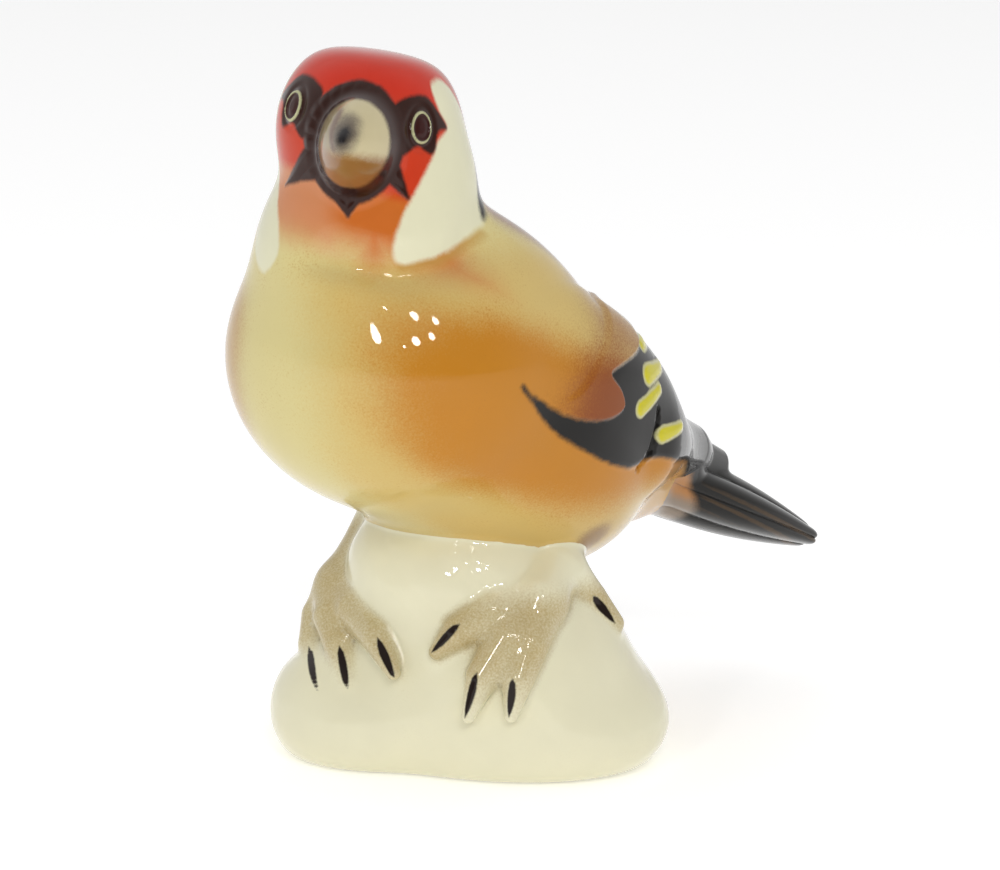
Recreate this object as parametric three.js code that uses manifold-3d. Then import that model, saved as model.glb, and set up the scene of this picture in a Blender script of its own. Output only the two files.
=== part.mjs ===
// A small porcelain goldfinch on a rock, cast hollow in plaster moulds and luted together with slip.
// Each mesh is one piece as it leaves its mould, with the thin gap that the slip joint fills.
// Millimetres, +Z up. The origin is the middle of the rock's flat underside.
// The bird faces -Y, and its left side is +X.
import * as THREE from "three";
import { ParametricGeometry } from "three/addons/geometries/ParametricGeometry.js";
import { mergeVertices } from "three/addons/utils/BufferGeometryUtils.js";
import Module from "manifold-3d";

const wasm = await Module();
wasm.setup();

// ---------------------------------------------------------------- driving dimensions
const WALL = 3.0; // thickness that a hollow piece casts to
const JOINT_GAP = 0.3; // room for the slip between two luted pieces
const BODY_BLEND = 1.5; // softness with which the forms of the body run together
const NECK_BLEND = 0.75;
const HEAD_BLEND = 1.0;
const WING_BLEND = 1.0;
const ROCK_BLEND = 1.6;
const VENT_RADIUS = 2.0; // drain and firing vent in the underside
const VENT_AT = [5, 6];
const PASSAGE_RADIUS = 3.0; // lets the steam of the upper hollows out through the rock
const SEAT_PASSAGE = { at: [0, -4], low: 12, high: 34 };
const VENT_HEIGHT = 6;

// Each form is an ellipsoid: its middle, its half-lengths, and its tilt about X in degrees.
const BODY_FORMS = {
  belly: [[0.6, -0.3, 33.8], [17.0, 20.5, 13.4], -32],
  breast: [[-1.5, -12.0, 42.8], [17.8, 15.3, 15.2], 0],
  mantle: [[1.2, -2.5, 42.0], [14.5, 19.0, 11.8], -50],
  rump: [[2.5, 14.0, 30.3], [9.5, 14.0, 7.2], -34],
  neck: [[-2.2, -15.0, 53.5], [11.6, 10.4, 12.0], 0],
};
const BODY_MIDDLE = [-1, -12, 46];

const HEAD_MIDDLE = [-1.4, -14.8, 65.5];
const HEAD_TURN = { yaw: 26, roll: 9, pitch: -7 }; // looks to its left, leans, and looks up
const SKULL = [[-1.0, 1.0, 1.0], [9.1, 10.3, 9.2], 0]; // in the head's own frame
const CHEEKS = [[1.4, 0.8, -4.5], [9.3, 9.0, 9.0], 0];
const CROWN = { height: 8.7, fall: 0.01, softness: 0.7 }; // the flattened top
const NECK_SEAM = { height: -5.5, slope: 0.62 }; // runs under the cheeks, up to the nape

const BEAK = { width: 3.7, height: 4.8, base: 5.5, tip: 16.6, droop: 0.6, pointiness: 1.65 };

const ROCK_FORMS = {
  skirt: [[0.2, 1.0, 4.4], [21.2, 14.6, 9.0], 0],
  mound: [[2.0, -1.0, 9.0], [16.0, 13.0, 13.0], 0],
  seat: [[0.5, -4.0, 20.0], [11.5, 10.0, 8.0], 0],
  bulge: [[-7.5, -8.6, 4.6], [10.2, 9.4, 8.0], 0],
};
const ROCK_MIDDLE = [0, -1, 9];
const ROCK_RIM_SOFTNESS = 0.4;

const WING = {
  at: [12.8, 1.0, 38.5], radii: [5.2, 17.0, 8.6], tilt: -30,
  wrist: [12.3, 10.0, 32.0], end: [9.5, 24.5, 28.8],
};
const WING_END_RADII = [5.0, 2.2];
const MIRROR_X = 0.75; // the body's middle plane
const PRIMARIES = {
  left: [[9.6, 19.5, 30.6], [8.8, 31.5, 26.0]],
  right: [[-3.0, 19.5, 31.0], [4.4, 31.5, 26.6]],
};
const PRIMARY_RADII = [2.6, 1.5];

const TAIL = {
  root: [3.5, 16, 28.8], tip: [9.6, 46.2, 15.4], buried: 3,
  width: 5.4, spread: 1.2, height: 3.2, arch: 0.9, thinning: 2.1, // half sizes, and their change
  ridges: 8, ridgeDepth: 0.05, bluntness: 0.25,
};

// Each limb is a chain of points with a radius at each, from the thigh to a toe's claw.
const LEFT_LIMBS = [
  [[[9.0, 1, 23], [11.2, -2.5, 21], [12.2, -6, 18.8]], [3.2, 2.9, 2.6]],
  [[[12, -5.5, 18.8], [9.5, -10.3, 18], [7.2, -12.8, 16], [5.4, -14.2, 13.9]], [2.2, 1.9, 1.7, 1.0]],
  [[[12.2, -6, 18.5], [11.5, -10.6, 15.5], [10.2, -13, 11.8], [9.7, -14.6, 8]], [2.2, 1.9, 1.7, 1.0]],
  [[[12.8, -6, 18.3], [13.6, -9.3, 15], [13.5, -11.2, 11.8], [13.4, -12.4, 8.2]], [2.2, 1.9, 1.7, 1.0]],
  [[[12.4, -1, 20.5], [13.8, 1.2, 17.8], [15.6, 2.6, 15]], [2.0, 1.4, 0.9]],
];
const RIGHT_LIMBS = [
  [[[-9.6, -2, 24], [-10.6, -4, 20.5], [-11.0, -8, 17]], [3.2, 3.0, 2.7]],
  [[[-11.3, -8, 17], [-12.9, -9.8, 14], [-12.4, -11.4, 11.6], [-9.6, -13.8, 9]], [2.2, 1.8, 1.6, 1.0]],
  [[[-11.5, -8.2, 17], [-9.8, -11.8, 14.8], [-7.4, -13.5, 12.6], [-4.6, -15.4, 9.4]], [2.2, 1.9, 1.7, 1.0]],
  [[[-11.0, -8, 17.2], [-6.5, -12, 16.2], [-2.2, -14.2, 14.4], [1.2, -15.7, 11.4]], [2.2, 1.9, 1.7, 1.0]],
  [[[-11.4, -3, 20], [-13.2, -0.5, 17], [-14.8, 1.5, 13.6]], [2.0, 1.4, 0.9]],
];

// Facets around and down each skin. A cutter has the same facets as its piece, so that they stay parallel.
const FACETS = {
  rock: [36, 22], body: [36, 26], head: [30, 20], wing: [24, 18], tail: [24, 16], hollow: [16, 12],
};

const BEAK_SIDES = 18;
const BEAK_RINGS = 8;
const LIMB_SIDES = 9;
const POST_SIDES = 16;

const COLOURS = {
  cream: 0xe9e4cf, ochre: 0xc98a3a, red: 0xc2331c, black: 0x2a2522, horn: 0xcabf9c, tan: 0xb7a67c,
};

// ---------------------------------------------------------------- fields
// A field gives the distance from a point to a form, and is negative inside it.
const vector = (a) => new THREE.Vector3(...a);
const radians = THREE.MathUtils.degToRad;

function ellipsoid([at, radii, tilt]) {
  const middle = vector(at);
  const r = vector(radii);
  const untilt = new THREE.Matrix4().makeRotationX(radians(-tilt));
  return (point) => {
    const q = point.clone().sub(middle).applyMatrix4(untilt).divide(r);
    const scaled = q.length();
    return (scaled * (scaled - 1)) / Math.max(q.divide(r).length(), 1e-9);
  };
}

// Distance to a cone with round ends, from a to b.
function taper(from, to, [startRadius, endRadius]) {
  const a = vector(from);
  const ab = vector(to).sub(a);
  return (point) => {
    const q = point.clone().sub(a);
    const t = THREE.MathUtils.clamp(q.dot(ab) / ab.lengthSq(), 0, 1);
    return q.addScaledVector(ab, -t).length() - THREE.MathUtils.lerp(startRadius, endRadius, t);
  };
}

// A soft minimum, so that forms run together as modelled clay does.
function blend(softness, fields) {
  return (point) => {
    const values = fields.map((field) => field(point));
    const least = Math.min(...values);
    const sum = values.reduce((total, value) => total + Math.exp((least - value) / softness), 0);
    return least - softness * Math.log(sum);
  };
}

// A field cut off by another, with a soft edge.
function trimmed(softness, field, cut) {
  const outside = blend(softness, [(p) => -field(p), (p) => -cut(p)]);
  return (point) => -outside(point);
}

const headFrame = new THREE.Matrix4()
  .makeTranslation(...HEAD_MIDDLE)
  .multiply(new THREE.Matrix4().makeRotationZ(radians(HEAD_TURN.yaw)))
  .multiply(new THREE.Matrix4().makeRotationY(radians(HEAD_TURN.roll)))
  .multiply(new THREE.Matrix4().makeRotationX(radians(HEAD_TURN.pitch)));
const toHead = headFrame.clone().invert();

const crownPlane = (q) => q.z - CROWN.height + CROWN.fall * (q.x ** 2 + (q.y - 1) ** 2);
const skullAndCheeks = blend(HEAD_BLEND, [ellipsoid(SKULL), ellipsoid(CHEEKS)]);
const headOwn = trimmed(CROWN.softness, skullAndCheeks, crownPlane);
const headField = (point) => headOwn(point.clone().applyMatrix4(toHead));
const bodyField = blend(BODY_BLEND, Object.values(BODY_FORMS).map(ellipsoid));
const torsoField = blend(NECK_BLEND, [bodyField, headField]);
const rockField = trimmed(
  ROCK_RIM_SOFTNESS,
  blend(ROCK_BLEND, Object.values(ROCK_FORMS).map(ellipsoid)),
  (point) => -point.z,
);
const wingField = blend(WING_BLEND, [
  ellipsoid([WING.at, WING.radii, WING.tilt]),
  taper(WING.wrist, WING.end, WING_END_RADII),
]);

// ---------------------------------------------------------------- surfaces
// The skin of a field around a middle point: in each direction, the first point where it reaches the level.
function skin(field, middle, level, around, along) {
  const centre = vector(middle);
  const FARTHEST = 70;
  const STEP = 0.8;
  const HALVINGS = 16;
  const surface = (u, v, target) => {
    const turn = 2 * Math.PI * u;
    const fall = Math.PI * v;
    const way = new THREE.Vector3(
      Math.sin(fall) * Math.cos(turn), Math.sin(fall) * Math.sin(turn), Math.cos(fall),
    );
    const at = (r) => centre.clone().addScaledVector(way, r);
    let outer = STEP;
    while (outer < FARTHEST && field(at(outer)) < level) outer += STEP;
    let inner = outer - STEP;
    for (let i = 0; i < HALVINGS; i++) {
      const half = (inner + outer) / 2;
      if (field(at(half)) < level) inner = half;
      else outer = half;
    }
    target.copy(at((inner + outer) / 2));
  };
  return new ParametricGeometry(surface, around, along);
}

// The beak: an elliptical cone with full sides, in the head's frame, along -Y.
function beakSurface() {
  const surface = (u, v, target) => {
    const turn = 2 * Math.PI * u;
    const taperShare = 1 - v ** BEAK.pointiness;
    target.set(
      BEAK.width * taperShare * Math.cos(turn),
      -THREE.MathUtils.lerp(BEAK.base, BEAK.tip, v),
      BEAK.height * taperShare * Math.sin(turn) - BEAK.droop,
    );
  };
  const cone = new ParametricGeometry(surface, BEAK_SIDES, BEAK_RINGS).applyMatrix4(headFrame);
  const base = new THREE.CircleGeometry(1, BEAK_SIDES).scale(BEAK.width, BEAK.height, 1);
  base.rotateX(-Math.PI / 2).rotateY(Math.PI).translate(0, -BEAK.base, -BEAK.droop).applyMatrix4(headFrame);
  return [cone, base];
}

// The tail: oval sections along its length, with the quills as low ridges, closing at both ends.
function tailSurface(grown, around, along) {
  const root = vector(TAIL.root);
  const way = vector(TAIL.tip).sub(root);
  const length = way.length() + grown;
  way.normalize();
  const side = new THREE.Vector3().crossVectors(way, new THREE.Vector3(0, 0, 1)).normalize();
  const up = new THREE.Vector3().crossVectors(side, way);
  const surface = (u, v, target) => {
    const turn = 2 * Math.PI * u;
    const t = THREE.MathUtils.lerp(-TAIL.buried, length, (1 - Math.cos(Math.PI * v)) / 2);
    const share = THREE.MathUtils.clamp(t / length, 0, 1);
    const width = TAIL.width + TAIL.spread * (Math.sin(Math.PI * share ** 1.2) - share ** 3) + grown;
    const arch = TAIL.arch * Math.sin(Math.PI * share);
    const height = TAIL.height + arch - TAIL.thinning * share ** 2.2 + grown;
    const round = Math.sin(Math.PI * v) ** TAIL.bluntness;
    const ridge = 1 + TAIL.ridgeDepth * Math.cos(TAIL.ridges * turn);
    target.copy(root).addScaledVector(way, t)
      .addScaledVector(side, width * round * ridge * Math.cos(turn))
      .addScaledVector(up, height * round * ridge * Math.sin(turn));
  };
  return new ParametricGeometry(surface, around, along);
}

// One length of a limb: a cone with round ends, turned about its own axis.
function limbLength(from, to, startRadius, endRadius) {
  const a = vector(from);
  const b = vector(to);
  const length = a.distanceTo(b);
  const lean = Math.asin((startRadius - endRadius) / length); // where the flank touches both balls
  const outline = new THREE.Path();
  outline.absarc(0, 0, startRadius, -Math.PI / 2, lean, false);
  outline.absarc(0, length, endRadius, lean, Math.PI / 2, false);
  const points = outline.getPoints(2);
  points[0].x = 0;
  points[points.length - 1].x = 0;
  const lathe = new THREE.LatheGeometry(points, LIMB_SIDES);
  const along = new THREE.Quaternion().setFromUnitVectors(
    new THREE.Vector3(0, 1, 0), b.clone().sub(a).normalize(),
  );
  return lathe.applyQuaternion(along).translate(...from);
}

// ---------------------------------------------------------------- solids
// One closed solid from the geometries that bound it, whichever way round they were wound.
function solid(...geometries) {
  const positions = [];
  for (const geometry of geometries) {
    const loose = geometry.index ? geometry.toNonIndexed() : geometry;
    positions.push(...loose.getAttribute("position").array);
  }
  const soup = new THREE.BufferGeometry();
  soup.setAttribute("position", new THREE.BufferAttribute(new Float32Array(positions), 3));
  const merged = mergeVertices(soup, 1e-3);
  const xyz = merged.getAttribute("position").array;
  const kept = [];
  let volume = 0;
  const index = merged.index.array;
  for (let i = 0; i < index.length; i += 3) {
    const [a, b, c] = index.slice(i, i + 3);
    if (a === b || b === c || c === a) continue; // the slivers at a pole
    kept.push(a, b, c);
    const [p, q, r] = [a, b, c].map((n) => new THREE.Vector3().fromArray(xyz, 3 * n));
    volume += p.dot(q.cross(r));
  }
  if (volume < 0) kept.reverse();
  return new wasm.Manifold(
    new wasm.Mesh({ numProp: 3, vertProperties: new Float32Array(xyz), triVerts: new Uint32Array(kept) }),
  );
}

const joined = (solids) => solids.reduce((whole, next) => whole.add(next));
const without = (whole, ...tools) => tools.reduce((rest, tool) => rest.subtract(tool), whole);
const largest = (whole) =>
  whole.decompose().reduce((best, next) => (next.volume() > best.volume() ? next : best));

function limbs(chains) {
  const lengths = chains.flatMap(([points, radii]) =>
    points.slice(1).map((to, i) => solid(limbLength(points[i], to, radii[i], radii[i + 1]))),
  );
  return joined(lengths);
}

function post(radius, [x, y], low, high) {
  const cylinder = new THREE.CylinderGeometry(radius, radius, high - low, POST_SIDES);
  return solid(cylinder.rotateX(Math.PI / 2).translate(x, y, (low + high) / 2));
}

// Everything on one side of the sloping seam under the head: above it for +1, below it for -1.
function besideNeckSeam(side) {
  const SPAN = 160;
  const slab = new THREE.BoxGeometry(SPAN, SPAN, SPAN);
  slab.translate(0, 0, side * (SPAN / 2 - JOINT_GAP / 2)); // each side gives up half of the gap
  slab.rotateX(Math.atan(NECK_SEAM.slope)).translate(0, 0, NECK_SEAM.height);
  return solid(slab.applyMatrix4(headFrame));
}

const mirrorX = (geometry) => geometry.scale(-1, 1, 1).translate(2 * MIRROR_X, 0, 0);

const grownBody = solid(skin(torsoField, BODY_MIDDLE, JOINT_GAP, ...FACETS.body));
const grownHead = solid(skin(torsoField, HEAD_MIDDLE, JOINT_GAP, ...FACETS.head));
const grownTorso = grownBody.add(grownHead);
const neckPassage = limbs([[[BODY_MIDDLE, HEAD_MIDDLE], [PASSAGE_RADIUS, PASSAGE_RADIUS]]]);
const seatPassage = post(PASSAGE_RADIUS, SEAT_PASSAGE.at, SEAT_PASSAGE.low, SEAT_PASSAGE.high);

function rockBase() {
  const outer = solid(skin(rockField, ROCK_MIDDLE, 0, ...FACETS.rock));
  const hollow = solid(skin(rockField, ROCK_MIDDLE, -WALL, ...FACETS.hollow));
  const vent = post(VENT_RADIUS, VENT_AT, -1, VENT_HEIGHT);
  return largest(without(outer, hollow, vent, seatPassage, grownBody));
}

function bodyShell() {
  const outer = solid(skin(torsoField, BODY_MIDDLE, 0, ...FACETS.body));
  const hollow = solid(skin(bodyField, BODY_MIDDLE, -WALL, ...FACETS.hollow));
  return largest(without(outer, hollow, besideNeckSeam(1), neckPassage, seatPassage));
}

function headShell() {
  const outer = solid(skin(torsoField, HEAD_MIDDLE, 0, ...FACETS.head));
  const hollow = solid(skin(headField, HEAD_MIDDLE, -WALL, ...FACETS.hollow));
  return largest(without(outer, hollow, besideNeckSeam(-1), neckPassage));
}

function beak() {
  return largest(without(solid(...beakSurface()), grownTorso));
}

function wingSolid(side, grown) {
  const geometry = skin(wingField, WING.at, grown, ...FACETS.wing);
  return solid(side === "left" ? geometry : mirrorX(geometry));
}

const wing = (side) => largest(without(wingSolid(side, 0), grownTorso));
const grownWings = joined([wingSolid("left", JOINT_GAP), wingSolid("right", JOINT_GAP)]);

function tail() {
  return largest(without(solid(tailSurface(0, ...FACETS.tail)), grownTorso, grownWings));
}

function primaries(side) {
  const [from, to] = PRIMARIES[side];
  const rod = solid(limbLength(from, to, ...PRIMARY_RADII));
  const grownTail = solid(tailSurface(JOINT_GAP, ...FACETS.tail));
  return largest(without(rod, grownTorso, grownTail, grownWings));
}

function foot(chains) {
  const grownRock = solid(skin(rockField, ROCK_MIDDLE, JOINT_GAP, ...FACETS.rock));
  return largest(without(limbs(chains), grownRock, grownBody));
}

// ---------------------------------------------------------------- the figurine
const group = new THREE.Group();

function place(name, made, colour, roughness = 0.12) {
  const { vertProperties, triVerts } = made.getMesh();
  const geometry = new THREE.BufferGeometry();
  geometry.setAttribute("position", new THREE.BufferAttribute(vertProperties, 3));
  geometry.setIndex(new THREE.BufferAttribute(triVerts, 1));
  geometry.computeVertexNormals();
  const material = new THREE.MeshStandardMaterial({ color: colour, roughness, metalness: 0 });
  const mesh = new THREE.Mesh(geometry, material);
  mesh.name = name;
  group.add(mesh);
}

place("rock_base", rockBase(), COLOURS.cream);
place("body_shell", bodyShell(), COLOURS.ochre);
place("head_shell", headShell(), COLOURS.red);
place("beak", beak(), COLOURS.horn);
place("left_wing", wing("left"), COLOURS.black);
place("right_wing", wing("right"), COLOURS.black);
place("left_primaries", primaries("left"), COLOURS.black);
place("right_primaries", primaries("right"), COLOURS.black);
place("tail", tail(), COLOURS.black);
place("left_foot", foot(LEFT_LIMBS), COLOURS.tan);
place("right_foot", foot(RIGHT_LIMBS), COLOURS.tan);

export default group;
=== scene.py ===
# %% [markdown]
# # A glazed porcelain goldfinch on its rock
# The real figurine starts as liquid clay poured into plaster moulds. The hollow rock, body and head,
# the wings, the tail, the beak and the feet are luted together with slip, so that the forms run into
# each other. It is then painted by brush and airbrush, dipped in clear glaze and fired.
# Here each cast piece is its own closed skin. All the skins follow one shared form, so that the joints
# vanish under the glaze as they do on the real thing.

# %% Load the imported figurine, which fixes where everything is
import math

import bpy
import numpy as np
from mathutils import Matrix, Vector


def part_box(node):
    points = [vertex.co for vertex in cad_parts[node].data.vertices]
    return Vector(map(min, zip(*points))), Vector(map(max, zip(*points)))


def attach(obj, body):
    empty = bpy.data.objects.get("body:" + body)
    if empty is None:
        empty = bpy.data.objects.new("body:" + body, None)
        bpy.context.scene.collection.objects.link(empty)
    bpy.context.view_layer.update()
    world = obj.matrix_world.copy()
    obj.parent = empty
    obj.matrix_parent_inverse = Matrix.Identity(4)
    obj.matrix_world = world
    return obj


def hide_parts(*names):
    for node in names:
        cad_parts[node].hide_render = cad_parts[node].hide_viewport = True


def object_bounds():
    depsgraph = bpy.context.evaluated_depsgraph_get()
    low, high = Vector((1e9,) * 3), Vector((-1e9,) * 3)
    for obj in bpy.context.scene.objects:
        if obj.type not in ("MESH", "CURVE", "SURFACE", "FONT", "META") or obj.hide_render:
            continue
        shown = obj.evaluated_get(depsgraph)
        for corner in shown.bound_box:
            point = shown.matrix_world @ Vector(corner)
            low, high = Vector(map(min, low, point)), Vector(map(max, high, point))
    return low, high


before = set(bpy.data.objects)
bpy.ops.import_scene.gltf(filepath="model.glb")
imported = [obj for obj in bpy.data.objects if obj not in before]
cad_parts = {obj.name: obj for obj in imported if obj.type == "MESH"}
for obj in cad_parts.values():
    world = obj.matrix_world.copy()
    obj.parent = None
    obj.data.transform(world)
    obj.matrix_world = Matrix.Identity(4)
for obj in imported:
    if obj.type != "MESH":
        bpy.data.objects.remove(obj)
cad_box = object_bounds()
MM = 0.001
height = (cad_box[1][2] - cad_box[0][2]) / MM
print(f"the cast figurine is {height:.1f} mm high")

# %% [markdown]
# ## Camera
# The figurine is seen a little from above and from its left front. A long lens keeps the small object
# from looking stretched. The camera's three axes are worked out first, from how far round and how far
# up it stands, so that the point it looks at can be moved along them.

# %% Camera
VIEW_AZIMUTH, VIEW_ELEVATION = math.radians(36), math.radians(12)
VIEW_DISTANCE = 0.450
VIEW_WIDTH = 0.1045  # how much of the scene is seen from side to side at that distance
SENSOR = 0.036
TARGET_ALONG, TARGET_UP = 0.00251, 0.0324  # the middle of the view, from the frame's origin

right = np.array([math.cos(VIEW_AZIMUTH), math.sin(VIEW_AZIMUTH), 0])
back = np.array([
    math.sin(VIEW_AZIMUTH) * math.cos(VIEW_ELEVATION),
    -math.cos(VIEW_AZIMUTH) * math.cos(VIEW_ELEVATION),
    math.sin(VIEW_ELEVATION),
])
up = np.cross(back, right)


def add_camera():
    """The camera looks along -back at a target that lies to the right of and above the origin."""
    data = bpy.data.cameras.new("camera")
    data.sensor_width = SENSOR * 1000
    data.lens = SENSOR * 1000 * VIEW_DISTANCE / VIEW_WIDTH
    data.clip_start = 0.01
    camera = bpy.data.objects.new("camera", data)
    bpy.context.scene.collection.objects.link(camera)
    target = right * TARGET_ALONG + up * TARGET_UP
    camera.location = target + back * VIEW_DISTANCE
    axes = np.array([right, up, back]).T
    camera.rotation_euler = bpy_matrix(axes).to_euler()
    bpy.context.scene.camera = camera
    print(f"camera with a lens of {data.lens:.0f} mm")


def bpy_matrix(axes):
    """A 3 by 3 array of column axes as one of Blender's own matrices."""
    return Matrix(axes.tolist())


add_camera()

# %% [markdown]
# ## Small lamps and broad ones
# Porcelain needs two kinds of light. Broad panels light its forms without hard shadows. A few small
# lamps near the camera leave the cluster of bright points that tells the eye the surface is hard and
# wet. Each lamp is given by how far round and how far up it stands, because those two angles decide
# where on the glaze its point of light appears.

# %% Lamps
LAMP_DISTANCE = 0.62
LAMPS = [  # azimuth and elevation in degrees, width in metres, watts
    (13, 20, 0.060, 0.34), (41, 35, 0.052, 0.24), (38, 23, 0.052, 0.28),
    (49, 27, 0.046, 0.20), (55, 35, 0.040, 0.16), (24, 31, 0.022, 0.05), (30, 19, 0.020, 0.04),
]
BIG_SOFTBOXES = [  # the broad light of the room's ceiling and windows
    (-40, 50, 1.20, 0.36), (100, 40, 1.20, 0.30), (20, 80, 1.60, 0.55),
]


def direction(azimuth, elevation):
    """A unit vector from the object towards a light, azimuth 0 being in front of it."""
    a, e = math.radians(azimuth), math.radians(elevation)
    return np.array([math.sin(a) * math.cos(e), -math.cos(a) * math.cos(e), math.sin(e)])


def add_lamp(name, azimuth, elevation, width, watts, centre):
    """A round panel that faces the middle of the figurine from LAMP_DISTANCE away."""
    data = bpy.data.lights.new(name, "AREA")
    data.shape = "DISK"
    data.size = width
    data.energy = watts
    lamp = bpy.data.objects.new(name, data)
    way = Vector(direction(azimuth, elevation))
    lamp.location = Vector(centre) + way * LAMP_DISTANCE
    lamp.rotation_euler = way.to_track_quat("Z", "Y").to_euler()
    bpy.context.scene.collection.objects.link(lamp)


middle_height = height * MM / 2
for number, lamp_values in enumerate(LAMPS + BIG_SOFTBOXES):
    add_lamp(f"lamp_{number}", *lamp_values, (0, 0, middle_height))
print(f"{len(LAMPS)} small lamps and {len(BIG_SOFTBOXES)} broad ones")

# %% [markdown]
# ## The room
# The glaze mirrors the room as a pale rim. A room that is equally white all round would also lay a
# grey veil over the black feathers, so it is darker on the camera's side. The table is a pale sheet
# that glows very slightly, as white paper under a strong lamp seems to.

# %% Room and table
ROOM_LIGHT = 0.80  # behind and above the object
FRONT_SHARE = 0.32  # how much of that is left on the camera's side
FRONT = (36, 5)  # where the room is darkest, round and up in degrees
VIEW_GAMMA = 0.90
TABLE_HALF = 4.0
TABLE_WHITE, TABLE_GLOW = 0.96, 0.30


def add_room():
    """A white surround. Its strength falls from ROOM_LIGHT to FRONT_SHARE of it, as the cosine of the
    angle between a ray and the front rises."""
    world = bpy.data.worlds.new("white room")
    world.use_nodes = True
    tree = world.node_tree
    ray = tree.nodes.new("ShaderNodeTexCoord").outputs["Generated"]
    facing = tree.nodes.new("ShaderNodeVectorMath")
    facing.operation = "DOT_PRODUCT"
    facing.inputs[1].default_value = direction(*FRONT)
    tree.links.new(ray, facing.inputs[0])
    level = tree.nodes.new("ShaderNodeMapRange")
    level.interpolation_type = "SMOOTHSTEP"
    level.inputs["From Min"].default_value = -0.3
    level.inputs["From Max"].default_value = 0.8
    level.inputs["To Min"].default_value = ROOM_LIGHT
    level.inputs["To Max"].default_value = ROOM_LIGHT * FRONT_SHARE
    tree.links.new(facing.outputs["Value"], level.inputs["Value"])
    tree.links.new(level.outputs["Result"], tree.nodes["Background"].inputs["Strength"])
    tree.nodes["Background"].inputs["Color"].default_value = (1, 1, 1, 1)
    bpy.context.scene.world = world
    bpy.context.scene.view_settings.view_transform = "Standard"
    bpy.context.scene.view_settings.gamma = VIEW_GAMMA


def add_table():
    """A wide pale sheet under the rock: one square face."""
    corners = [(-TABLE_HALF, -TABLE_HALF, 0), (TABLE_HALF, -TABLE_HALF, 0),
               (TABLE_HALF, TABLE_HALF, 0), (-TABLE_HALF, TABLE_HALF, 0)]
    mesh = bpy.data.meshes.new("table")
    mesh.from_pydata(corners, [], [(0, 1, 2, 3)])
    table = bpy.data.objects.new("table", mesh)
    bpy.context.scene.collection.objects.link(table)
    material = bpy.data.materials.new("pale table")
    material.use_nodes = True
    surface = material.node_tree.nodes["Principled BSDF"]
    surface.inputs["Base Color"].default_value = (TABLE_WHITE, TABLE_WHITE, TABLE_WHITE, 1)
    surface.inputs["Roughness"].default_value = 0.9
    surface.inputs["Specular IOR Level"].default_value = 0.1
    surface.inputs["Emission Color"].default_value = (1, 1, 1, 1)
    surface.inputs["Emission Strength"].default_value = TABLE_GLOW
    mesh.materials.append(material)


add_room()
add_table()
print(f"a room at {ROOM_LIGHT} behind and {ROOM_LIGHT * FRONT_SHARE:.2f} in front, and a table")

# %% [markdown]
# ## Clay: forms that run together
# A modeller builds a bird from a few egg-shaped lumps and smooths one into the next. A distance field
# does the same. Each lump tells how far a point is outside it, and a soft minimum joins the lumps with
# a fillet, as a wet thumb does. Ellipsoids and tapered rods are all that is needed, and every detail,
# from the eyelids to the quills, is a small distance added to or taken from the field.

# %% The modeller's tools
def turn(axis, degrees):
    """The 3 by 3 rotation about one axis, from the angle's sine and cosine."""
    a = math.radians(degrees)
    c, s = math.cos(a), math.sin(a)
    tables = {
        "x": [[1, 0, 0], [0, c, -s], [0, s, c]],
        "y": [[c, 0, s], [0, 1, 0], [-s, 0, c]],
        "z": [[c, -s, 0], [s, c, 0], [0, 0, 1]],
    }
    return np.array(tables[axis])


def lump(p, middle, radii, tilt=0.0):
    """Distance to an ellipsoid: k (k - 1) / g, where k is the point's length measured in radii and g
    the length of its slope. tilt turns the ellipsoid about X."""
    q = (p - middle) @ turn("x", tilt)
    radii = np.asarray(radii, float)
    k = np.linalg.norm(q / radii, axis=-1)
    g = np.linalg.norm(q / radii**2, axis=-1)
    return k * (k - 1) / np.maximum(g, 1e-9)


def rod(p, start, end, start_radius, end_radius):
    """Distance to a tapered rod with round ends: the distance to the nearest point of its axis, less
    the radius there."""
    start, end = np.asarray(start, float), np.asarray(end, float)
    axis = end - start
    share = np.clip((p - start) @ axis / (axis @ axis), 0, 1)
    near = start + share[..., None] * axis
    return np.linalg.norm(p - near, axis=-1) - (start_radius + (end_radius - start_radius) * share)


def smooth_join(softness, *distances):
    """A soft minimum: minus softness times the logarithm of the sum of exp(-distance / softness)."""
    least = np.minimum.reduce(distances)
    total = sum(np.exp((least - d) / softness) for d in distances)
    return least - softness * np.log(total)


def smooth_cut(softness, distance, cut):
    """A soft maximum, which keeps what is inside both: minus the soft minimum of the negatives."""
    return -smooth_join(softness, -distance, -cut)


def ease(low, high, value):
    """0 below low, 1 above high, and between them the S-shaped ramp t t (3 - 2 t)."""
    share = np.clip((value - low) / (high - low), 0, 1)
    return share * share * (3 - 2 * share)


print("a lump of radius 2 seen from 5 mm:", lump(np.array([5.0, 0, 0]), np.zeros(3), (2, 2, 2)), "mm")

# %% [markdown]
# ## Where each form stands
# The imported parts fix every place. A form is set out from the middle of its own cast part, so that it
# follows the cast part if that is moved.

# %% The middles of the cast parts
def middle_of(node):
    """The middle of a cast piece's box in millimetres: half the sum of its two far corners."""
    low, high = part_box(node)
    return (np.array(low) + np.array(high)) / 2 / MM


BODY, HEAD, ROCK = middle_of("body_shell"), middle_of("head_shell"), middle_of("rock_base")
LEFT_WING, TAIL = middle_of("left_wing"), middle_of("tail")
LEFT_FOOT, RIGHT_FOOT = middle_of("left_foot"), middle_of("right_foot")
print("body, head and rock stand at", BODY.round(1), HEAD.round(1), ROCK.round(1))

# %% [markdown]
# ## The bird's own lumps
# Five lumps make the body: belly, breast, mantle, rump and neck. Two make the head, which is then
# flattened on top. The head has its own directions, because it looks to the bird's left and leans a
# little: in them -Y is straight ahead of the beak and +Z is the top of the crown.

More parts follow.
